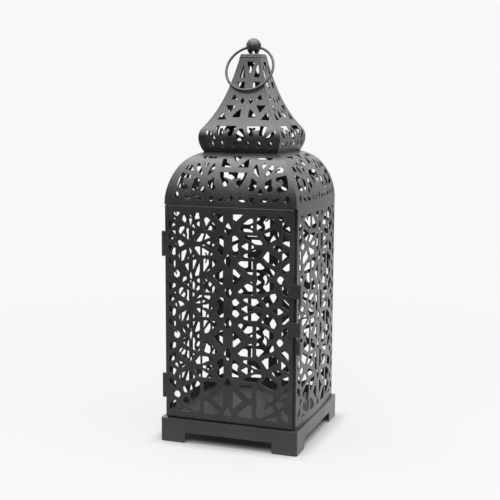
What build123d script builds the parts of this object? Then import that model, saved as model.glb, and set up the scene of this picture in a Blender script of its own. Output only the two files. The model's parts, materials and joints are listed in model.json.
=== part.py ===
from build123d import *
import math
import os

# Moroccan metal lantern: square pierced sheet body on a folded tray, a hinged
# pierced door, a four-sided dome, an onion cap, a ball finial and a carry ring.
# Millimetres. Origin: centre of the base on the surface it stands on.
# +Z up, the door faces -Y, its hinges are on -X and its latch on +X.

# ---------------------------------------------------------------- dimensions
BASE = 150.0          # tray width and depth
TRAY_H = 25.0         # tray height, also the candle floor
TRAY_T = 1.0
TRAY_ROUND = 2.2      # folded vertical corners
FOOT_W = 26.8         # corner foot, each way
NOTCH_H = 11.5        # gap under the tray between two feet
NOTCH_ROUND = 2.0

HALF = 71.0           # half width of the body and of the dome's lower edge
FRONT_Y = -67.0       # face of the door frame, set back from the dome's edge
EAVE_Z = 250.5        # lower edge of the dome
WALL_Z1 = EAVE_Z - 0.3
SHEET = 0.8
BOW = 3.0             # outward bow of the side and rear walls
BOW_TURN = 8.0        # half the sweep of a bowed panel about its bow, degrees
TUCK = HALF - SHEET - 0.05   # half width of a sheet standing between two walls

FIELD_W = 65.4        # half width of the pierced field
FIELD_LO = 33.5
FIELD_HI = 243.0
PITCH = 64.0          # vertical repeat of the fretwork
ROSETTE_Z = 147.0     # height of one rosette centre on the door and right wall
LEFT_ROSETTE_Z = 146.3      # the sheets were not all pierced at one height
REAR_ROSETTE_Z = 148.5
RIGHT_MID_Y = 2.0     # centre of each wall's fretwork
LEFT_MID_Y = 3.5
REAR_MID_X = -0.5
TOP_SHIFT = 1.5       # the front dome and cap panels are pierced this far to +X

DOOR_X0, DOOR_X1 = -70.4, 68.2
DOOR_Z0, DOOR_Z1 = 26.2, 249.8
DOOR_Y = -71.0        # face of the door
DOOR_D = 3.1          # depth of the folded rim
DOOR_CX = -1.3        # centre of the door's fretwork
RIM_ROUND = 0.6       # rounding of the rim's top and bottom folds
FRAME_IN = 66.0       # half width of the frame's opening
FRAME_SILL = 5.5
FRAME_HEAD = 6.0

HINGE_X, HINGE_Y = -73.15, -69.5    # hinge pins
HINGE_Z = {"lower": 46.9, "upper": 197.2}
HINGE_R = 1.75
PIN_R = 0.95
PIN_GAP = 0.05
PIN_PROUD = 0.2
LEAF_H = 24.8
LEAF_T = 0.6
LEAF_X0, LEAF_X1 = -71.5, -66.4     # frame leaf
LEAF_D = 0.7          # thickness of the door leaf
KNUCKLES = ((0.0, 6.2), (6.4, 18.4), (18.6, LEAF_H))     # bottom, middle, top

BOLT_X, BOLT_Y = 74.6, -70.1        # latch bolt
BOLT_Z0, BOLT_Z1 = 118.3, 176.0
BOLT_R = 0.8
BOLT_BEND = 1.2
GRIP_Z0, GRIP_Z1 = 140.6, 149.4     # finger grip bent out of the bolt
GRIP_OUT = 8.2
GRIP_FLAT = 1.3       # half height of the grip's outer run
LOOP_R = 1.7
GUIDES = {"lower": (122.4, 137.0), "upper": (161.3, 175.4)}
GUIDE_X0 = 62.8
GUIDE_GAP = 0.1
KEEP_GAP = 0.35
KEEP_Z0, KEEP_Z1 = 104.0, 117.8     # keeper on the right wall
KEEP_X0 = 71.65
KEEP_Y1 = -60.5
KEEP_T = 0.7

DOME_TOP_Z = 303.0
DOME_TOP_W = 39.4
DOME_LEAVE_Z = 288.0  # where the long lower arc meets the tighter upper one
DOME_LEAVE_W = 60.4

CAP_T = 0.9
CAP_TOP_Z = 400.0
NECK_W = 11.2         # half width of the cap's top
WIDE_W, WIDE_Z = 44.3, 318.5        # widest level of the cap
R_LOW, R_UP = 27.0, 15.0            # arcs below and above it
UP_TURN = math.radians(38)
SHOULDER_PULL = 22.0                # handles of the curve from there to the neck
NECK_PULL = 34.0
NECK_LEAN = math.radians(13)

PLATE_W = 22.6        # square top plate with leaning sides and a small bevel
PLATE_T, BEVEL_T = 3.1, 0.8
PLATE_TURN, BEVEL_TURN = 14, 29
PLATE_Z = CAP_TOP_Z + PLATE_T + BEVEL_T
YOKE_D = 5.0          # seat under the ball, pierced by a narrowing arch
YOKE_LOW, YOKE_HIGH = 3.7, 6.2      # its half widths at the plate and at the ball
ARCH_LOW, ARCH_HIGH = 2.6, 1.1      # half widths of the arch
ARCH_SILL = 0.6
ARCH_TOP = 407.4
BALL_R = 7.8
BALL_Z = 412.6
BALL_CUT = 408.0      # flat under the ball
EYE_R, EYE_Z = 3.2, 411.85          # eye through the ball
RING_Z = 410.9        # swing axis of the ring, along X through the eye
RING_R = 25.5         # radius of the ring's centre line
RING_WIRE = 1.35
RING_DROP = RING_R - 0.65   # swing axis to ring centre
RING_LEAN = 28.3      # degrees from straight down, leaning on the front

CLEAR = 5.0           # how far cutting tools reach past a sheet
TINY = 1e-6

os.makedirs("parts", exist_ok=True)


def save(name, shape):
    solids = shape.solids()
    out = solids[0] if len(solids) == 1 else Compound(children=list(solids))
    export_step(out, f"parts/{name}.step")
    print(f"{name:26s} solids {len(solids)} volume {sum(s.volume for s in solids):10.1f}")


def box(x0, x1, y0, y1, z0, z1):
    return Pos((x0 + x1) / 2, (y0 + y1) / 2, (z0 + z1) / 2) * Box(x1 - x0, y1 - y0, z1 - z0)


def tube(r, x, y, z0, z1):
    return Pos(x, y, (z0 + z1) / 2) * Cylinder(r, z1 - z0)


# ------------------------------------------------------------------ fretwork
# Every opening is a short outline in millimetres. The wall pattern repeats
# upward and is mirrored about the centre bar and about each rosette's centre.
def mirrored(half):
    """Close an outline that is symmetric about its own second axis."""
    return half + [(a, -b) for a, b in reversed(half) if b > TINY]


# openings centred on a rosette's level: (distance from the bar, height)
ON_ROSETTE = [
    mirrored([(4.7, 0), (4.7, 9.2), (6.3, 10.3), (8.6, 10.2), (12.4, 6.2), (12.3, 4.6), (10.8, 2.6),
              (10.4, 0)]),
    mirrored([(14.2, 0), (20.4, 3.7), (23.2, 1.8), (27.6, 1.3), (27.6, 0)]),
    mirrored([(47.4, 0), (50.2, 2.6), (53.2, 3.6), (56.3, 2.4), (59.2, 0)]),
]
# openings beside a rosette's level, mirrored about it
BESIDE_ROSETTE = [
    [(16.8, 8.8), (18.2, 7.9), (23, 6.1), (28.4, 3.2), (31, 2.6), (36.2, 2.6), (36.8, 4.2), (31, 11.2),
     (20.5, 11.3), (17.2, 10.6)],
    [(42.3, 3.6), (48, 7.3), (53.4, 10.3), (54.2, 13), (53.4, 16.4), (51, 18.2), (47, 17.1), (42, 14.9),
     (37, 12.9), (36.4, 11.4), (39.5, 7.5)],
    [(57.7, 12.7), (57.7, 5.4), (60, 4.4), (65.4, 1.9), (65.4, 8.0), (60.6, 12.5)],
]
# openings centred halfway between two rosettes
ON_MIDDLE = [
    mirrored([(5.4, 0), (5.4, 7.9), (7.2, 8.3), (10.2, 5.6), (13.2, 2.7), (16.2, 0)]),
    mirrored([(31.6, 0), (31.5, 2.6), (30.8, 4.8), (30.8, 14.2), (32.6, 16), (35.5, 16), (38.8, 14.4),
              (43.4, 12), (48.3, 9.6), (50, 7.8), (49.4, 4.2), (48, 2.7), (44.6, 2.5), (42.6, 4.9),
              (40.6, 6.4), (39.6, 5.6), (41.6, 3), (42.2, 0)]),
    mirrored([(52, 0), (54.4, 3.1), (56.2, 4.1), (58.6, 2.7), (60.4, 0)]),
]
BESIDE_MIDDLE = [
    [(10.9, 15), (14, 17), (26.6, 17.2), (26.8, 4.8), (25.2, 3.3), (21.8, 4.7), (16.8, 8.8), (11.6, 14)],
    [(57.8, 6.2), (59.6, 6.2), (65.4, 10.9), (65.4, 17.6), (57.8, 13.4)],
]
BAR_DIAMOND = mirrored([(-7.4, 0), (-3.6, 2.5), (0, 4.2), (3.6, 2.5), (7.4, 0)])    # (height, across)
SMALLEST = 2.0        # an opening cut down to less than this area is left out


def clip(poly, lo, hi):
    """Cut an outline to lo < height < hi."""
    for level, sign in ((lo, 1), (hi, -1)):
        out = []
        for (ax, ay), (bx, by) in zip(poly, poly[1:] + poly[:1]):
            a_in, b_in = sign * (ay - level) >= 0, sign * (by - level) >= 0
            if a_in:
                out.append((ax, ay))
            if a_in != b_in:
                t = (level - ay) / (by - ay)
                out.append((ax + t * (bx - ax), level))
        poly = out
        if len(poly) < 3:
            return []
    return poly


def area(poly):
    return abs(sum(ax * by - bx * ay for (ax, ay), (bx, by) in zip(poly, poly[1:] + poly[:1]))) / 2


def wall_openings(centre, rosette_z=ROSETTE_Z):
    """All openings of one pierced wall as (horizontal, height) outlines."""
    holes = []
    for k in range(-3, 4):
        z_r = rosette_z + k * PITCH
        z_m = z_r + PITCH / 2
        for side in (1, -1):
            holes += [[(side * a, z_r + b) for a, b in p] for p in ON_ROSETTE]
            holes += [[(side * a, z_m + b) for a, b in p] for p in ON_MIDDLE]
            for up in (1, -1):
                holes += [[(side * a, z_r + up * b) for a, b in p] for p in BESIDE_ROSETTE]
                holes += [[(side * a, z_m + up * b) for a, b in p] for p in BESIDE_MIDDLE]
        for up in (1, -1):
            holes.append([(a, z_r + up * PITCH / 4 + b) for b, a in BAR_DIAMOND])
    holes = [clip(p, FIELD_LO, FIELD_HI) for p in holes]
    return [[(centre + a, b) for a, b in p] for p in holes if len(p) > 2 and area(p) > SMALLEST]


# dome openings: (distance from the centre line, distance up the sheet)
DOME_MID = [
    [(-6.2, 57.2), (6.2, 57.2), (0.4, 48.4), (-0.4, 48.4)],
    [(-15, 35.6), (15, 35.6), (13.4, 29.5), (10.6, 23.6), (8.4, 20.3), (5.6, 20.9), (3.6, 24.2),
     (5.0, 27.0), (8.8, 28.6), (8.2, 30.2), (3.4, 28.4), (0, 27.6), (-3.4, 28.4), (-8.2, 30.2),
     (-8.8, 28.6), (-5.0, 27.0), (-3.6, 24.2), (-5.6, 20.9), (-8.4, 20.3), (-10.6, 23.6), (-13.4, 29.5)],
    [(0, 13.2), (2.4, 9.2), (1.6, 5.6), (-1.6, 5.6), (-2.4, 9.2)],
]
DOME_SIDE = [
    [(15, 52.2), (14.6, 41.2), (3.4, 41.2), (7.6, 46.0), (11.6, 52.2)],
    [(22.4, 46.2), (24.8, 42.2), (27.8, 33.2), (27, 31.2), (21.6, 36.2), (20.8, 42)],
    [(28.2, 44.2), (30.8, 48.2), (33.5, 44.2), (30.8, 40.2)],
    [(40.6, 45.8), (41.4, 41.4), (39.8, 36), (34.6, 31.4), (33.4, 33.6), (36.2, 40.6), (38.4, 44.8)],
    [(20, 30), (25.7, 26.2), (26.6, 24.2), (25.8, 20.6), (23, 16.2), (20.6, 15.4), (17.2, 18.2),
     (19.4, 23.6)],
    [(41.2, 30), (35.2, 26.2), (34.4, 24.2), (35.2, 20.6), (38, 16.2), (40.8, 15.4), (43.8, 18.2),
     (41.8, 23.6)],
    [(30.7, 20.2), (33.9, 15.4), (30.7, 10.8), (27.5, 15.4)],
    [(21.6, 56), (21.6, 54.2), (25.8, 51.2), (30.4, 53), (35, 51.2), (37.6, 53.6), (37.4, 56)],
    [(43.4, 36.6), (45.2, 39), (44.4, 41), (47.8, 43.4), (51.4, 41.4), (53.2, 37.4), (48, 36.2)],
    [(45.6, 31.2), (55.8, 34), (58.4, 27.2), (60, 18.6), (50.4, 15.4), (46.6, 18.2), (49.4, 21.4),
     (53.4, 22.2), (53.4, 27.4), (50.4, 29.4), (48.2, 27), (45.8, 27.6)],
    [(6.8, 9.6), (9.4, 9.6), (12.8, 8.2), (15.4, 5.6), (12.2, 5), (9.2, 6.2)],
    [(18.4, 10), (25.4, 10), (23.6, 7), (21.4, 4.4), (19.2, 6.8)],
    [(30, 5.6), (31.6, 8.6), (37.2, 10.4), (40.2, 9.8), (37.4, 6.4), (33.6, 4.8)],
    [(42.8, 6.2), (44.2, 8.6), (49.2, 10.4), (52.2, 10), (49.4, 6.8), (45.4, 5.4)],
    [(58.4, 14), (61.8, 11.4), (61.2, 6.6), (58.6, 4.6), (56.2, 8.4)],
]


# onion cap openings, the same way round
CAP_MID = [
    [(-4.4, 101.2), (4.6, 101.2), (0.8, 89.4), (-0.6, 89.4)],
    [(-1.8, 26.6), (1.8, 26.6), (4.2, 22), (5.2, 18), (3.6, 14.2), (0, 13.4), (-3.6, 14.2), (-5.2, 18),
     (-4.2, 22)],
]
CAP_SIDE = [
    [(7.0, 97.4), (8.4, 97.4), (10.8, 85.6), (10.4, 84.3), (4.8, 84.3)],
    [(4.4, 79.6), (13.0, 79.6), (9.2, 72.6), (4.7, 72.6)],
    [(4.6, 62.8), (6.8, 59), (4.6, 54.8), (2.4, 59)],
    [(13.6, 65.6), (14.8, 65.6), (17, 60), (9.8, 60)],
    [(11.2, 54), (21.8, 54), (17, 46), (15.8, 46)],
    [(4.4, 49.6), (5.4, 49.6), (9.4, 46.2), (13.2, 41), (12.6, 40), (4.4, 40)],
    [(23.4, 45.8), (24.4, 45.8), (27.9, 37.8), (27.2, 36.8), (18.8, 37.4)],
    [(5.6, 29.8), (27.6, 29.8), (26.8, 23.6), (24.6, 18.4), (20.4, 18.2), (18.6, 21.2), (20.2, 23.8),
     (19.4, 25.2), (16.2, 24), (13, 25.2), (12.2, 23.8), (14.2, 20.6), (12.6, 17.2), (9.6, 17.8),
     (7.2, 23.6)],
    [(26.6, 15.4), (29.4, 18.8), (33.2, 22.4), (36, 24.4), (37.6, 23), (37.4, 20.4), (34.6, 17.2),
     (30.4, 15), (27.4, 14.2)],
]
CAP_SIDE += [[(c - 1.4, 12.6), (c + 1.4, 12.6), (c + 2.8, 9.4), (c + 1.6, 6.4), (c, 5.8), (c - 1.6, 6.4),
              (c - 2.8, 9.4)] for c in (6.8, 19.4, 31.6)]


def panel_openings(middle, side_row, shift=0.0):
    """Openings of one panel, the side row mirrored about the centre line."""
    holes = list(middle)
    for side in (1, -1):
        holes += [[(side * a, b) for a, b in p] for p in side_row]
    return [[(a + shift, b) for a, b in p] for p in holes]


# ---------------------------------------------------------- sheet metal tools
def wedge(z0, z1):
    """Everything nearer the front than the two mitre planes."""
    corners = [Vector(0, 0, z0), Vector(-BASE, -BASE, z0), Vector(BASE, -BASE, z0)]
    return Solid.extrude(Face(Wire.make_polygon(corners, close=True)), Vector(0, 0, z1 - z0))


def profile_point(samples, s):
    """Point (half width, z) and unit tangent at distance s up a profile."""
    run = 0.0
    for (ax, az), (bx, bz) in zip(samples, samples[1:]):
        step = math.hypot(bx - ax, bz - az)
        if run + step >= s:
            t = (s - run) / step
            return (ax + t * (bx - ax), az + t * (bz - az)), ((bx - ax) / step, (bz - az) / step)
        run += step
    (ax, az), (bx, bz) = samples[-2:]
    step = math.hypot(bx - ax, bz - az)
    return (bx, bz), ((bx - ax) / step, (bz - az) / step)


def front_cutters(outlines, samples, reach, depth):
    """Cutters for openings laid on a curved sheet that faces -Y."""
    tools = []
    for outline in outlines:
        mid = sum(b for _, b in outline) / len(outline)
        (w0, z0), (tw, tz) = profile_point(samples, mid)
        nw, nz = tz, -tw                       # outward normal in (half width, z)
        pts = []
        for a, b in outline:
            (w, z), _ = profile_point(samples, b)
            along = (w - w0) * tw + (z - z0) * tz
            pts.append((a, -(w0 + along * tw), z0 + along * tz))
        face = Face(Wire.make_polygon([Vector(*p) for p in pts], close=True))
        n = Vector(0, -nw, nz)
        tools.append(Solid.extrude(face.moved(Location(n * -depth)), n * (depth + reach)))
    return tools


# ------------------------------------------------------------------ the tray
TRAY_EDGE = BASE / 2
TRAY_IN = TRAY_EDGE - TRAY_T
NOTCH_EDGE = TRAY_EDGE - FOOT_W
tray = box(-TRAY_EDGE, TRAY_EDGE, -TRAY_EDGE, TRAY_EDGE, 0, TRAY_H)
tray = fillet(tray.edges().filter_by(Axis.Z), TRAY_ROUND)
hollow = box(-TRAY_IN, TRAY_IN, -TRAY_IN, TRAY_IN, -1, TRAY_H - TRAY_T)
hollow = fillet(hollow.edges().filter_by(Axis.Z), TRAY_ROUND - TRAY_T)
notch = box(-NOTCH_EDGE, NOTCH_EDGE, -BASE, BASE, -5, NOTCH_H)
notch = fillet(notch.edges().filter_by(Axis.Y).sort_by(Axis.Z)[-2:], NOTCH_ROUND)
save("base_tray", tray - hollow - notch - Rot(0, 0, 90) * notch)


# ------------------------------------------------------- side and rear walls
def bowed_wall(h0, h1, openings):
    """Wall that faces +X, from y = h0 to h1, bowed outward between its edges."""
    mid, half = (h0 + h1) / 2, (h1 - h0) / 2
    radius = (half * half + BOW * BOW) / (2 * BOW)
    cx = HALF + BOW - radius
    ri = radius - SHEET
    xi = cx + math.sqrt(ri * ri - half * half)
    outer = ThreePointArc((HALF, h0), (HALF + BOW, mid), (HALF, h1))
    inner = ThreePointArc((xi, h1), (cx + ri, mid), (xi, h0))
    section = Face(Wire([outer, Line((HALF, h1), (xi, h1)), inner, Line((xi, h0), (HALF, h0))]))
    sheet = Solid.extrude(section.moved(Location((0, 0, TRAY_H))), Vector(0, 0, WALL_Z1 - TRAY_H))
    tools = []
    for outline in openings:
        face = Face(Wire.make_polygon([Vector(HALF - CLEAR, a, b) for a, b in outline], close=True))
        tools.append(Solid.extrude(face, Vector(BOW + 2 * CLEAR, 0, 0)))
    return sheet.cut(*tools)


right = bowed_wall(FRONT_Y, HALF, wall_openings(RIGHT_MID_Y))
left = bowed_wall(FRONT_Y, HALF, wall_openings(LEFT_MID_Y, LEFT_ROSETTE_Z))
rear = bowed_wall(-TUCK, TUCK, wall_openings(-REAR_MID_X, REAR_ROSETTE_Z))
save("wall_right", right)
save("wall_left", left.mirror(Plane.YZ))
save("wall_rear", rear.rotate(Axis.Z, 90))

# ---------------------------------------------------------------- door frame
frame = box(-TUCK, TUCK, FRONT_Y, FRONT_Y + SHEET, TRAY_H, WALL_Z1)
frame -= box(-FRAME_IN, FRAME_IN, FRONT_Y - 1, FRONT_Y + 2, TRAY_H + FRAME_SILL, WALL_Z1 - FRAME_HEAD)
save("door_frame", frame)

# ---------------------------------------------------------------------- door
IN_X0, IN_X1 = DOOR_X0 + SHEET, DOOR_X1 - SHEET       # inside of the folded rim
IN_Z0, IN_Z1 = DOOR_Z0 + SHEET, DOOR_Z1 - SHEET
face_corners = [(IN_X0, IN_Z0), (IN_X1, IN_Z0), (IN_X1, IN_Z1), (IN_X0, IN_Z1)]
outlines = [face_corners] + wall_openings(DOOR_CX)
wires = [Wire.make_polygon([Vector(a, DOOR_Y, b) for a, b in p], close=True) for p in outlines]
door = Part() + Solid.extrude(Face(wires[0], wires[1:]), Vector(0, SHEET, 0))
rim = box(DOOR_X0, DOOR_X1, DOOR_Y, DOOR_Y + DOOR_D, DOOR_Z0, DOOR_Z1)
rim = fillet(rim.edges().filter_by(Axis.X).sort_by(Axis.Y)[:2], RIM_ROUND)
rim -= box(IN_X0, IN_X1, DOOR_Y - 1, DOOR_Y + DOOR_D + 1, IN_Z0, IN_Z1)
save("door_panel", door + rim)

# -------------------------------------------------------------------- hinges
for name, z0 in HINGE_Z.items():
    z1 = z0 + LEAF_H
    bore = tube(PIN_R + PIN_GAP, HINGE_X, HINGE_Y, z0 - 1, z1 + 1)
    snug = tube(PIN_R, HINGE_X, HINGE_Y, z0 - 1, z1 + 1)
    frame_leaf = box(LEAF_X0, LEAF_X1, FRONT_Y - LEAF_T, FRONT_Y, z0, z1)
    for a, b in (KNUCKLES[0], KNUCKLES[2]):
        frame_leaf += tube(HINGE_R, HINGE_X, HINGE_Y, z0 + a, z0 + b)
        frame_leaf += box(HINGE_X - 0.8, LEAF_X0, HINGE_Y + 1.0, FRONT_Y, z0 + a, z0 + b)
    save(f"hinge_{name}_frame_leaf", frame_leaf - snug)
    a, b = KNUCKLES[1]
    door_leaf = box(DOOR_X0 - LEAF_D, DOOR_X0, DOOR_Y + 0.1, DOOR_Y + DOOR_D, z0, z1)
    door_leaf += tube(HINGE_R, HINGE_X, HINGE_Y, z0 + a, z0 + b)
    door_leaf += box(HINGE_X, DOOR_X0 - 0.5, HINGE_Y - 1.4, HINGE_Y - 0.7, z0 + a, z0 + b)
    save(f"hinge_{name}_door_leaf", door_leaf - bore)
    save(f"hinge_{name}_pin", tube(PIN_R, HINGE_X, HINGE_Y, z0 - PIN_PROUD, z1 + PIN_PROUD))

# --------------------------------------------------------------------- latch
for name, (z0, z1) in GUIDES.items():
    guide = box(GUIDE_X0, BOLT_X, DOOR_Y - SHEET, DOOR_Y, z0, z1)
    guide += tube(LOOP_R, BOLT_X, BOLT_Y, z0, z1)
    guide -= tube(BOLT_R + GUIDE_GAP, BOLT_X, BOLT_Y, z0 - 1, z1 + 1)
    save(f"latch_guide_{name}", guide)

KEEP_Y0 = BOLT_Y + LOOP_R - KEEP_T
keeper = tube(LOOP_R, BOLT_X, BOLT_Y, KEEP_Z0, KEEP_Z1)
keeper += box(KEEP_X0, BOLT_X, KEEP_Y0, KEEP_Y0 + KEEP_T, KEEP_Z0, KEEP_Z1)
keeper += box(KEEP_X0, KEEP_X0 + KEEP_T, KEEP_Y0, KEEP_Y1, KEEP_Z0, KEEP_Z1)
keeper -= tube(BOLT_R + KEEP_GAP, BOLT_X, BOLT_Y, KEEP_Z0 - 1, KEEP_Z1 + 1)
save("latch_keeper", keeper)

grip_mid = (GRIP_Z0 + GRIP_Z1) / 2
route = FilletPolyline((BOLT_X, BOLT_Y, BOLT_Z0), (BOLT_X, BOLT_Y, GRIP_Z0),
                       (BOLT_X + GRIP_OUT, BOLT_Y, grip_mid - GRIP_FLAT),
                       (BOLT_X + GRIP_OUT, BOLT_Y, grip_mid + GRIP_FLAT),
                       (BOLT_X, BOLT_Y, GRIP_Z1), (BOLT_X, BOLT_Y, BOLT_Z1), radius=BOLT_BEND)
bolt_end = Plane(origin=(BOLT_X, BOLT_Y, BOLT_Z0), z_dir=(0, 0, 1)) * Circle(BOLT_R)
save("latch_bolt", sweep(bolt_end, path=route))


# ---------------------------------------------------------------------- dome
def dome_arcs(x0, x_mid, x_top):
    """Two tangent arcs from the eave: ((centre, radius, start, end angle), ...)."""
    rise, run = DOME_LEAVE_Z - EAVE_Z, x0 - x_mid
    r1 = (rise * rise + run * run) / (2 * run)
    a1 = math.asin(rise / r1)
    c1 = (x0 - r1, EAVE_Z)
    dx, dz = x_top - c1[0], DOME_TOP_Z - c1[1]
    k = (dx * dx + dz * dz - r1 * r1) / (2 * (dx * math.cos(a1) + dz * math.sin(a1) - r1))
    c2 = (c1[0] + k * math.cos(a1), c1[1] + k * math.sin(a1))
    a2 = math.atan2(DOME_TOP_Z - c2[1], x_top - c2[0])
    return (c1, r1, 0.0, a1), (c2, r1 - k, a1, a2)


def arc_samples(arcs, count=60):
    """Points along the arcs, for measuring distances up the sheet."""
    pts = []
    for (cx, cz), r, a0, a1 in arcs:
        for i in range(count + 1):
            a = a0 + (a1 - a0) * i / count
            pts.append((cx + r * math.cos(a), cz + r * math.sin(a)))
    return [p for i, p in enumerate(pts) if i == 0 or math.dist(p, pts[i - 1]) > TINY]


def dome_section(arcs):
    """Sheet section in the YZ plane, outer face towards -Y."""
    def on(c, r, a):
        return (0, -(c[0] + r * math.cos(a)), c[1] + r * math.sin(a))
    (c, r, a0, _), (d, q, _, b1) = arcs
    edges = [ThreePointArc(on(c, r, a), on(c, r, (a + b) / 2), on(c, r, b)) for c, r, a, b in arcs]
    edges.append(Line(on(d, q, b1), on(d, q - SHEET, b1)))
    for e, p, a, b in reversed(arcs):
        p -= SHEET
        edges.append(ThreePointArc(on(e, p, b), on(e, p, (a + b) / 2), on(e, p, a)))
    edges.append(Line(on(c, r - SHEET, a0), on(c, r, a0)))
    return Face(Wire(edges))


def bowed_out(w):
    """Half width of a bowed panel at its middle, where the flat one has w."""
    return w + BOW * (w / HALF) ** 2


flat_arcs = dome_arcs(HALF, DOME_LEAVE_W, DOME_TOP_W)
bowed_arcs = dome_arcs(bowed_out(HALF), bowed_out(DOME_LEAVE_W), bowed_out(DOME_TOP_W))
dome_samples = arc_samples(flat_arcs)
mitre = wedge(EAVE_Z - CLEAR, DOME_TOP_Z + CLEAR)

front_tools = front_cutters(panel_openings(DOME_MID, DOME_SIDE, TOP_SHIFT), dome_samples, BOW + CLEAR, CLEAR)
flat_sheet = Solid.extrude(dome_section(flat_arcs).moved(Location((-BASE, 0, 0))), Vector(2 * BASE, 0, 0))
save("dome_front", flat_sheet.intersect(mitre).solids()[0].cut(*front_tools))

bow_radius = (HALF * HALF + BOW * BOW) / (2 * BOW)
bow_axis = Axis((0, bow_radius - HALF - BOW, 0), (0, 0, 1))
dome_tools = front_cutters(panel_openings(DOME_MID, DOME_SIDE), dome_samples, BOW + CLEAR, CLEAR)
bowed_sheet = Solid.revolve(dome_section(bowed_arcs).rotate(bow_axis, -BOW_TURN), 2 * BOW_TURN, bow_axis)
bowed = bowed_sheet.intersect(mitre).solids()[0].cut(*dome_tools)
for k, name in ((1, "right"), (2, "rear"), (3, "left")):
    save(f"dome_{name}", bowed.rotate(Axis.Z, 90 * k))

# ----------------------------------------------------------------- onion cap
LOW_C, UP_C = WIDE_W - R_LOW, WIDE_W - R_UP           # centres of the two arcs
LOW_TURN = math.asin((WIDE_Z - DOME_TOP_Z) / R_LOW)


def low_arc(t):
    """Point (half width, z) from the cap's foot at t = 0 to its widest level at 1."""
    a = LOW_TURN * (t - 1)
    return LOW_C + R_LOW * math.cos(a), WIDE_Z + R_LOW * math.sin(a)


def up_arc(t):
    """Point from the widest level at t = 0 to the shoulder at 1."""
    a = UP_TURN * t
    return UP_C + R_UP * math.cos(a), WIDE_Z + R_UP * math.sin(a)


SHOULDER = up_arc(1)
SWEEP = [SHOULDER,
         (SHOULDER[0] - SHOULDER_PULL * math.sin(UP_TURN), SHOULDER[1] + SHOULDER_PULL * math.cos(UP_TURN)),
         (NECK_W + NECK_PULL * math.sin(NECK_LEAN), CAP_TOP_Z - NECK_PULL * math.cos(NECK_LEAN)),
         (NECK_W, CAP_TOP_Z)]


def sweep_curve(t):
    """Point of the Bezier curve from the shoulder to the neck."""
    weights = ((1 - t) ** 3, 3 * t * (1 - t) ** 2, 3 * t * t * (1 - t), t ** 3)
    return tuple(sum(k * p[j] for k, p in zip(weights, SWEEP)) for j in (0, 1))


def cap_line(inset):
    """The cap's profile moved inward, as a chain of edges from foot to neck."""
    def at(p):
        return (0, inset - p[0], p[1])
    return [ThreePointArc(at(low_arc(0)), at(low_arc(0.5)), at(low_arc(1))),
            ThreePointArc(at(up_arc(0)), at(up_arc(0.5)), at(up_arc(1))),
            Bezier(*[at(p) for p in SWEEP])]


def cap_section():
    outer, inner = cap_line(0), cap_line(CAP_T)
    ends = [Line(outer[-1] @ 1, inner[-1] @ 1), Line(inner[0] @ 0, outer[0] @ 0)]
    return Face(Wire(outer + inner + ends))


cap_samples = [low_arc(i / 30) for i in range(31)]
cap_samples += [up_arc(i / 30) for i in range(1, 31)]
cap_samples += [sweep_curve(i / 80) for i in range(1, 81)]

cap_sheet = Solid.extrude(cap_section().moved(Location((-BASE, 0, 0))), Vector(2 * BASE, 0, 0))
cap_blank = cap_sheet.intersect(wedge(DOME_TOP_Z - CLEAR, CAP_TOP_Z + CLEAR)).solids()[0]
for k, name in enumerate(("front", "right", "rear", "left")):
    shift = TOP_SHIFT if name == "front" else 0.0
    tools = front_cutters(panel_openings(CAP_MID, CAP_SIDE, shift), cap_samples, CLEAR, CLEAR)
    save(f"cap_{name}", cap_blank.cut(*tools).rotate(Axis.Z, 90 * k))

# ------------------------------------------------------------ top and finial
plate = extrude(Pos(0, 0, CAP_TOP_Z) * Rectangle(PLATE_W, PLATE_W), PLATE_T, taper=PLATE_TURN)
rim = PLATE_W - 2 * PLATE_T * math.tan(math.radians(PLATE_TURN))
plate += extrude(Pos(0, 0, CAP_TOP_Z + PLATE_T) * Rectangle(rim, rim), BEVEL_T, taper=BEVEL_TURN)
save("top_plate", plate)


def trapezoid(low, high, z0, z1):
    """Wire in the front plane of the yoke, half width low at z0 and high at z1."""
    corners = ((-low, z0), (low, z0), (high, z1), (-high, z1))
    return Wire.make_polygon([Vector(x, -YOKE_D / 2, z) for x, z in corners], close=True)


arch = trapezoid(ARCH_LOW, ARCH_HIGH, PLATE_Z + ARCH_SILL, ARCH_TOP)
yoke = Face(trapezoid(YOKE_LOW, YOKE_HIGH, PLATE_Z, BALL_CUT), [arch])
save("finial_yoke", Solid.extrude(yoke, Vector(0, YOKE_D, 0)))

ball = Pos(0, 0, BALL_Z) * Sphere(BALL_R)
ball -= box(-BALL_R, BALL_R, -BALL_R, BALL_R, BALL_CUT - BALL_R, BALL_CUT)
ball -= Pos(0, 0, EYE_Z) * Rot(0, 90, 0) * Cylinder(EYE_R, 4 * BALL_R)
save("finial_ball", ball)

# ---------------------------------------------------------------- carry ring
ring = Pos(0, 0, -RING_DROP) * Rot(90, 0, 0) * Torus(RING_R, RING_WIRE)
save("carry_ring", Pos(0, 0, RING_Z) * Rot(-RING_LEAN, 0, 0) * ring)
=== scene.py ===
import json
import math
import random

import bmesh
import bpy
from mathutils import Matrix, Vector


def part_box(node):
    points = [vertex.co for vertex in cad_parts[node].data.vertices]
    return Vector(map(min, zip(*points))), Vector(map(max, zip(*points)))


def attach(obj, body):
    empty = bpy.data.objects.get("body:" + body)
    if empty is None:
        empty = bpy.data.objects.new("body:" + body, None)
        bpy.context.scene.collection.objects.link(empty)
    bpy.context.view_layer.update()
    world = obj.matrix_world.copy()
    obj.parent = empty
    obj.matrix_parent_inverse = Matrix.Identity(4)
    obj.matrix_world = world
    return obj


# Moroccan metal lantern: looks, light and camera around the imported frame.
# Metres, +Z up, the door faces -Y.

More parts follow.
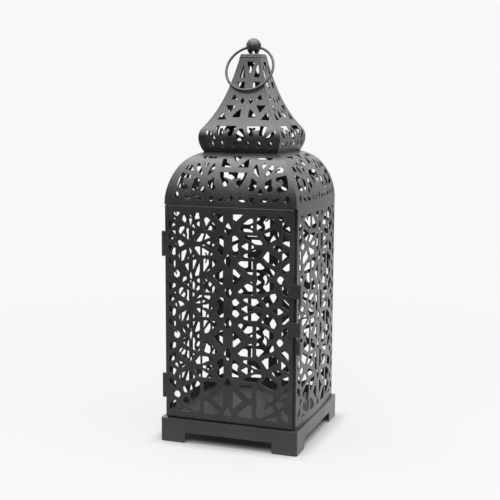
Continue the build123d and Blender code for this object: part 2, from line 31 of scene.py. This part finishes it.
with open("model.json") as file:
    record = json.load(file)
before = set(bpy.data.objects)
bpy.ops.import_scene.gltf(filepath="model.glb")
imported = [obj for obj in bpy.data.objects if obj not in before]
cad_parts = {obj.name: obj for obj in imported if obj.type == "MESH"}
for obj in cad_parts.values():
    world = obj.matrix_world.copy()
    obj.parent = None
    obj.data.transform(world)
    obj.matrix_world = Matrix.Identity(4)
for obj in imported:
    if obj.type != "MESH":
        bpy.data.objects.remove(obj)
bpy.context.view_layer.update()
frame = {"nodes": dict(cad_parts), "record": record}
scene = bpy.context.scene

# ------------------------------------------------------------------- camera
AZIMUTH = math.radians(19.70)       # to the right of the door's normal
ELEVATION = math.radians(8.29)      # above the level of the point it looks at
ROLL = math.radians(0.27)
AIM = Vector((-0.0026, -0.0009, 0.1971))
DISTANCE = 1.1117
FOCAL, SENSOR = 74.51, 36.0         # mm, for a square frame
NEAREST, FARTHEST = 0.01, 100.0


def add_camera():
    data = bpy.data.cameras.new("camera")
    data.lens = FOCAL
    data.sensor_width = SENSOR
    data.sensor_fit = "HORIZONTAL"
    data.clip_start = NEAREST
    data.clip_end = FARTHEST
    cam = bpy.data.objects.new("camera", data)
    back = Vector((math.sin(AZIMUTH) * math.cos(ELEVATION),
                   -math.cos(AZIMUTH) * math.cos(ELEVATION),
                   math.sin(ELEVATION)))
    cam.location = AIM + back * DISTANCE
    cam.rotation_euler = (-back).to_track_quat("-Z", "Y").to_euler()
    cam.rotation_euler.rotate_axis("Z", ROLL)
    scene.collection.objects.link(cam)
    scene.camera = cam


# ---------------------------------------------------------------- materials
class Nodes:
    """A node tree in the making. A node gets its values and links when it is
    added, and is passed on as the output that the next node reads."""

    def __init__(self, tree):
        tree.nodes.clear()
        self.tree = tree

    def add(self, kind, output=None, inputs=(), **settings):
        node = self.tree.nodes.new("ShaderNode" + kind)
        for name, value in settings.items():
            setattr(node, name, value)
        for socket, value in dict(inputs).items():
            if isinstance(value, bpy.types.NodeSocket):
                self.tree.links.new(value, node.inputs[socket])
            else:
                node.inputs[socket].default_value = value
        return node.outputs[output] if output else None

    def noise(self, place, scale, detail, roughness=0.5):
        return self.add("TexNoise", "Fac", {"Vector": place, "Scale": scale,
                                            "Detail": detail, "Roughness": roughness})

    def ramp(self, value, low, high, start, end, kind="LINEAR"):
        """From start, where the value is low, to end, where it is high."""
        return self.add("MapRange", "Result",
                        {"Value": value, "From Min": low, "From Max": high,
                         "To Min": start, "To Max": end}, interpolation_type=kind)

    def smooth(self, value, low, high, start, end):
        return self.ramp(value, low, high, start, end, "SMOOTHSTEP")

    def maths(self, operation, a, b):
        return self.add("Math", "Value", {0: a, 1: b}, operation=operation)

    def vector(self, operation, *vectors, output="Vector"):
        return self.add("VectorMath", output, enumerate(vectors), operation=operation)

    def mix(self, kind, factor, a, b):
        return self.add("Mix", "Result", {"Factor": factor, "A": a, "B": b}, data_type=kind)

    def split(self, vector):
        """The x, y and z of a vector."""
        return tuple(self.add("SeparateXYZ", "X", {"Vector": vector}).node.outputs)

    def off_axis(self, place):
        """How far a place lies from the lantern's upright axis, measured square
        to its sides, and how far it lies from the ground."""
        x, y, z = self.split(self.vector("ABSOLUTE", place))
        return self.maths("MAXIMUM", x, y), z


def new_material(name):
    material = bpy.data.materials.new(name)
    material.use_nodes = True
    return material, Nodes(material.node_tree)


COAT = (0.0134, 0.0131, 0.0148)     # the charcoal coat's colour
DARKEST, LIGHTEST = 0.05, 2.4       # its darkest and lightest spots, times COAT
CLOUD_SHARE, FLECK_SHARE = 0.25, 0.75           # what clouds and flecks add to a spot
RUBBED_AND_HIGHLIT = (0.22, 0.22, 0.225, 1)     # the coat where an edge is rubbed, lightened further as a painted edge highlight
EDGE_R = 0.00030                    # radius that sharp edges seem to have
BLUNT, SHARP = 0.99, 0.80           # cosine of the turn where the rubbed wear and painted edge highlight start, are full
EDGE_COAT_LEAST, EDGE_COAT_MOST = 0.1125, 0.75  # how much of the rubbed, highlit edge coat shows between chips and in them
GLOSSIER, DULLER = 0.05, 0.06       # the cloudy gloss, to either side of the roughness
IOR = 1.5

CLOUDS, FLECKS, CHIPS = 38.0, 1000.0, 420.0     # how fine each noise is, per metre
CLOUD_RANGE, FLECK_RANGE, CHIP_RANGE = (0.3, 0.7), (0.32, 0.68), (0.42, 0.70)
WAVES, LUMPS, SPECKS = 16.0, 700.0, 2600.0
WAVE_DEPTH, LUMP_DEPTH, SPECK_DEPTH = 0.0016, 0.00030, 0.00005

SOOT_ROUGH = 0.85
SOOT_ON_FLOOR = 0.3                 # share of it on the tray's top
FACING_IN = (-0.25, -0.55)          # how far out a face looks: with no soot, with full soot
WALLS_START, WALLS_FULL = 0.0690, 0.0700        # where the walls stand on the tray
FLOOR_TOP, FLOOR_CLEAR = 0.030, 0.040           # heights just above the tray's top


def sooted(t, place):
    """1 on faces that look at the lantern's own axis, less on the tray's top
    between its walls, and 0 on faces that look out."""
    radial = t.vector("NORMALIZE", t.vector("MULTIPLY", place, (1, 1, 0)))
    facing = t.vector("DOT_PRODUCT", place.node.outputs["Normal"], radial, output="Value")
    inner = t.ramp(facing, *FACING_IN, 0.0, 1.0)
    aside, height = t.off_axis(place)
    floor = t.maths("MULTIPLY", t.ramp(aside, WALLS_START, WALLS_FULL, SOOT_ON_FLOOR, 0.0),
                    t.ramp(height, FLOOR_TOP, FLOOR_CLEAR, 1.0, 0.0))
    return t.maths("MAXIMUM", inner, floor)


def powder_coat(name, rough, grain, wavy=0.0, soot=False):
    """Satin charcoal powder coat: fine orange-peel grain over slightly wavy
    sheet, cloudy gloss, a lighter coat along sharp edges that is partly
    rubbed wear and partly a painted edge highlight, and on the sheet's inner
    faces a dull film of candle soot."""
    material, t = new_material(name)
    place = t.add("TexCoord", "Object")
    cloud = t.noise(place, CLOUDS, 4.0, 0.6)
    fleck = t.noise(place, FLECKS, 1.0)
    shade = t.maths("ADD", t.ramp(cloud, *CLOUD_RANGE, 0.0, CLOUD_SHARE),
                    t.ramp(fleck, *FLECK_RANGE, 0.0, FLECK_SHARE))
    dark, light = ((*(c * times for c in COAT), 1) for times in (DARKEST, LIGHTEST))

    rounded = t.add("Bevel", "Normal", {"Radius": EDGE_R}, samples=6)
    turn = t.vector("DOT_PRODUCT", rounded, t.add("NewGeometry", "Normal"), output="Value")
    chips = t.noise(place, CHIPS, 3.0, 0.7)
    # Painted edge highlight, partly rubbed wear: every sharp edge gets a much lighter coat, broken
    # up by the chips.
    wear_and_highlight = t.maths("MULTIPLY", t.ramp(turn, BLUNT, SHARP, 0.0, 1.0),
                   t.ramp(chips, *CHIP_RANGE, EDGE_COAT_LEAST, EDGE_COAT_MOST))

    gloss = t.ramp(cloud, *CLOUD_RANGE, rough - GLOSSIER, rough + DULLER)
    if soot:
        gloss = t.mix("FLOAT", sooted(t, place), gloss, SOOT_ROUGH)

    normal = rounded
    for height, strength, depth in ((t.noise(place, WAVES, 1.0), wavy, WAVE_DEPTH),
                                    (t.noise(place, LUMPS, 2.0), grain, LUMP_DEPTH),
                                    (t.noise(place, SPECKS, 2.0, 0.6), grain, SPECK_DEPTH)):
        normal = t.add("Bump", "Normal", {"Height": height, "Strength": strength,
                                          "Distance": depth, "Normal": normal})
    # The lighter edge coat mixed in here is a painted edge highlight as well as rubbed wear.
    coat = t.mix("RGBA", wear_and_highlight, t.mix("RGBA", shade, dark, light), RUBBED_AND_HIGHLIT)
    skin = t.add("BsdfPrincipled", "BSDF", {"Base Color": coat, "Roughness": gloss,
                                            "IOR": IOR, "Normal": normal})
    t.add("OutputMaterial", inputs={"Surface": skin})
    return material


SHEET, FITTINGS, FINIAL = "coated_steel_sheet", "coated_steel_fittings", "coated_steel_finial"
COATS = {SHEET: powder_coat("powder_coat_sheet", 0.38, 0.5, wavy=0.35, soot=True),
         FITTINGS: powder_coat("powder_coat_fittings", 0.42, 0.5),
         FINIAL: powder_coat("powder_coat_finial", 0.44, 0.4)}


def dress_nodes():
    """Give each CAD node the coat of its material slot."""
    for part in frame["record"]["subparts"]:
        materials = frame["nodes"][part["node"]].data.materials
        materials.clear()
        materials.append(COATS[part["material_slot"]])


# ------------------------------------------------------------ seams and pins
SEAM_R = 0.00046            # weld bead where two panels are joined
SEAM_STEP = 0.0013          # length of one ripple of the bead
SEAM_RIPPLE = 0.16          # how much thicker the bead is on a ripple
SEAM_UNEVEN = 0.7           # how much one place differs from the next, times that
SEAM_END = 0.4              # share of its thickness left at either end
PER_RIPPLE = 3              # places along one ripple
ON_SEAM = 0.00006           # how close to a mitre plane a panel's corner lies
LEVELS = 5000               # heights told apart along a mitre, per metre

LIP_R = 0.0007              # rolled lip around the foot of the top plate
LIP_OUT, LIP_UP = 0.4, 0.6  # how far it lies in from the plate's side and up, times LIP_R
LIP_STOPS = (-0.96, -0.5, 0.0, 0.5, 0.96)   # places along one side, times its half

HEAD_R, HEAD_H = 0.00145, 0.00075           # peened head of a hinge pin
HEAD_FOOT, HEAD_RIM = 0.0003, 0.0001        # how deep it sits, and its straight rim
HEAD_TURNS = (0.35, 0.7, 1.05, 1.35)        # places up its round, in radians
HEAD_SIDES = 24


def new_piece(name, mesh, slot):
    """Link a finished mesh, smooth it and tie it to the lantern's body."""
    for face in mesh.polygons:
        face.use_smooth = True
    mesh.materials.append(COATS[slot])
    piece = bpy.data.objects.new(name, mesh)
    scene.collection.objects.link(piece)
    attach(piece, "lantern")


def quarter_turn(count):
    return Matrix.Rotation(count * math.pi / 2, 4, "Z")


def add_bead(name, radius, places, shares, slot, closed=False):
    """Round bead along some places, at each as thick as its share of radius."""
    data = bpy.data.curves.new(name, "CURVE")
    data.dimensions = "3D"
    data.bevel_depth = radius
    data.bevel_resolution = 3
    data.use_fill_caps = not closed
    line = data.splines.new("POLY")
    line.use_cyclic_u = closed
    line.points.add(len(places) - 1)
    for point, place, share in zip(line.points, places, shares):
        point.co = (*place, 1)
        point.radius = share
    bead = bpy.data.objects.new(name, data)
    scene.collection.objects.link(bead)
    bpy.context.view_layer.update()
    mesh = bpy.data.meshes.new_from_object(bead)
    bpy.data.objects.remove(bead)
    new_piece(name, mesh, slot)


def ridge(node):
    """Outermost points of a front panel along its right mitre, going up."""
    outermost = {}
    for v in frame["nodes"][node].data.vertices:
        x, y, z = v.co
        if x > 0 and abs(x - abs(y)) < ON_SEAM:
            level = round(z * LEVELS)
            if level not in outermost or x > outermost[level].x:
                outermost[level] = v.co.copy()
    return [outermost[level] for level in sorted(outermost)]


def along(points, step):
    """The same line again, as points one step apart."""
    out, left = [points[0]], step
    for a, b in zip(points, points[1:]):
        run = (b - a).length
        while left <= run:
            out.append(a.lerp(b, left / run))
            left += step
        left -= run
    return out


def add_seams():
    """Rippled weld beads along the mitres of the dome and of the cap."""
    rng = random.Random(7)
    for part in ("dome", "cap"):
        line = along(ridge(f"{part}_front"), SEAM_STEP / PER_RIPPLE)
        sunk = [co + Vector((-co.x, -co.y, 0)).normalized() * SEAM_R for co in line]
        for quarter, corner in enumerate(("front_right", "rear_right", "rear_left", "front_left")):
            shares = [1 + SEAM_RIPPLE * (math.cos(i * math.tau / PER_RIPPLE)
                                         + rng.uniform(-SEAM_UNEVEN, SEAM_UNEVEN))
                      for i in range(len(sunk))]
            shares[0] = shares[-1] = SEAM_END
            places = [quarter_turn(quarter) @ co for co in sunk]
            add_bead(f"{part}_seam_{corner}", SEAM_R, places, shares, SHEET)


def add_plate_lip():
    """Rolled lip under the top plate, where it closes on the cap."""
    lo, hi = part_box("top_plate")
    reach, height = hi[0] - LIP_R * LIP_OUT, lo[2] + LIP_R * LIP_UP
    places = [quarter_turn(quarter) @ Vector((reach, stop * reach, height))
              for quarter in range(4) for stop in LIP_STOPS]
    add_bead("top_plate_lip", LIP_R, places, [1] * len(places), FINIAL, closed=True)


def add_turned(name, outline, centre, up, slot):
    """Turned piece on an upright axis. Its outline is (radius, height) points,
    with heights above the centre for up = 1, and below it for up = -1."""
    bm = bmesh.new()
    rings = []
    for radius, height in outline:
        turns = [k * math.tau / HEAD_SIDES for k in range(HEAD_SIDES)] if radius else [0]
        rings.append([bm.verts.new((centre.x + radius * math.cos(a),
                                    centre.y + radius * math.sin(a),
                                    centre.z + up * height)) for a in turns])
    for low, high in zip(rings, rings[1:]):
        for k in range(HEAD_SIDES):
            j = (k + 1) % HEAD_SIDES
            corners = [low[k % len(low)], low[j % len(low)],
                       high[j % len(high)], high[k % len(high)]]
            bm.faces.new(list(dict.fromkeys(corners)))      # a ring of one point counts once
    bmesh.ops.recalc_face_normals(bm, faces=bm.faces)
    mesh = bpy.data.meshes.new(name)
    bm.to_mesh(mesh)
    bm.free()
    new_piece(name, mesh, slot)


def add_pin_heads():
    """Peened heads that keep the hinge pins in their knuckles."""
    outline = [(0, -HEAD_FOOT), (HEAD_R, -HEAD_FOOT), (HEAD_R, HEAD_RIM)]
    outline += [(HEAD_R * math.cos(a), HEAD_RIM + HEAD_H * math.sin(a)) for a in HEAD_TURNS]
    outline.append((0, HEAD_RIM + HEAD_H))
    for hinge in ("lower", "upper"):
        lo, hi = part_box(f"hinge_{hinge}_pin")
        x, y = (lo[0] + hi[0]) / 2, (lo[1] + hi[1]) / 2
        for end, z, up in (("bottom", lo[2], -1), ("top", hi[2], 1)):
            add_turned(f"hinge_{hinge}_pin_head_{end}", outline, Vector((x, y, z)), up, FITTINGS)


# -------------------------------------------------------------------- stage
FLOOR_R = 1.7
PAPER = (0.290, 0.290, 0.288, 1)
WHITE = (1, 1, 1, 1)
BACKDROP = 0.94             # what the camera sees behind the lantern
ROOM, SWEEP = 0.06, 1.55    # what the metal reflects in front and behind
FAR = 0.5                   # share of the sweep's light left at the horizon

# The paper's glow grows from nothing under the tray to the backdrop's own: a
# first share of it close beside the tray, and the rest further out.
BESIDE_FROM, BESIDE_TO, BESIDE = 0.0735, 0.095, 0.76
BEYOND_FROM, BEYOND_TO, BEYOND = 0.2, 0.9, 0.24

# Where reflected light turns from the room's to the sweep's, going back, and
# where it fades to its share at the horizon: on the floor in metres, and in the
# world as the y and z of the direction.
FLOOR_TURN, FLOOR_FADE = (-0.9, 0.5), (1.0, 1.6)
WORLD_TURN, WORLD_FADE = (-0.6, 0.2), (0.02, 0.22)

SOFTBOX = (0.25, -0.95, 1.6)
SOFTBOX_WIDE, SOFTBOX_DEEP = 2.5, 3.1
SOFTBOX_WATTS = 144.0


def floor_paper():
    """Matt pale paper that runs out evenly into the backdrop's brightness.
    All rays but the camera's own see it dim towards the front of the room."""
    material, t = new_material("paper_floor")
    place = t.add("TexCoord", "Object")
    reach = t.vector("LENGTH", place, output="Value")
    aside, _ = t.off_axis(place)
    glow = t.maths("ADD", t.smooth(aside, BESIDE_FROM, BESIDE_TO, 0.0, BESIDE),
                   t.smooth(reach, BEYOND_FROM, BEYOND_TO, 0.0, BEYOND))
    seen = t.add("MixShader", "Shader",
                 {"Fac": glow, 1: t.add("BsdfDiffuse", "BSDF", {"Color": PAPER}),
                  2: t.add("Emission", "Emission", {"Strength": BACKDROP})})

    _, y, _ = t.split(place)
    light = t.maths("MULTIPLY", t.smooth(y, *FLOOR_TURN, ROOM, SWEEP),
                    t.smooth(reach, *FLOOR_FADE, 1.0, FAR))
    lit = t.add("Emission", "Emission", {"Strength": light})
    pick = t.add("MixShader", "Shader",
                 {"Fac": t.add("LightPath", "Is Camera Ray"), 1: lit, 2: seen})
    t.add("OutputMaterial", inputs={"Surface": pick})
    return material


def add_floor():
    bpy.ops.mesh.primitive_circle_add(vertices=128, radius=FLOOR_R, fill_type="NGON",
                                      location=(0, 0, 0))
    floor = bpy.context.object
    floor.name = "floor"
    floor.data.materials.append(floor_paper())


def add_world():
    """Even pale paper for the camera. For all other rays, a dim room in front
    of the lantern and a bright sweep behind it, darker at the horizon."""
    world = bpy.data.worlds.new("studio")
    scene.world = world
    world.use_nodes = True
    t = Nodes(world.node_tree)
    _, y, z = t.split(t.add("TexCoord", "Generated"))
    light = t.maths("MULTIPLY", t.smooth(y, *WORLD_TURN, ROOM, SWEEP),
                    t.smooth(z, *WORLD_FADE, FAR, 1.0))
    lit, seen = (t.add("Background", "Background", {"Color": WHITE, "Strength": strength})
                 for strength in (light, BACKDROP))
    pick = t.add("MixShader", "Shader",
                 {"Fac": t.add("LightPath", "Is Camera Ray"), 1: lit, 2: seen})
    t.add("OutputWorld", inputs={"Surface": pick})


def add_softbox():
    """One large softbox overhead, in front of the lantern, facing down."""
    data = bpy.data.lights.new("overhead_softbox", "AREA")
    data.shape = "RECTANGLE"
    data.size, data.size_y = SOFTBOX_WIDE, SOFTBOX_DEEP
    data.energy = SOFTBOX_WATTS
    lamp = bpy.data.objects.new("overhead_softbox", data)
    lamp.location = SOFTBOX
    scene.collection.objects.link(lamp)


def set_view():
    scene.view_settings.view_transform = "Standard"
    scene.view_settings.look = "None"
    scene.view_settings.exposure = 0.0
    scene.view_settings.gamma = 1.0


dress_nodes()
add_seams()
add_pin_heads()
add_plate_lip()
add_floor()
add_world()
add_softbox()
set_view()
add_camera()
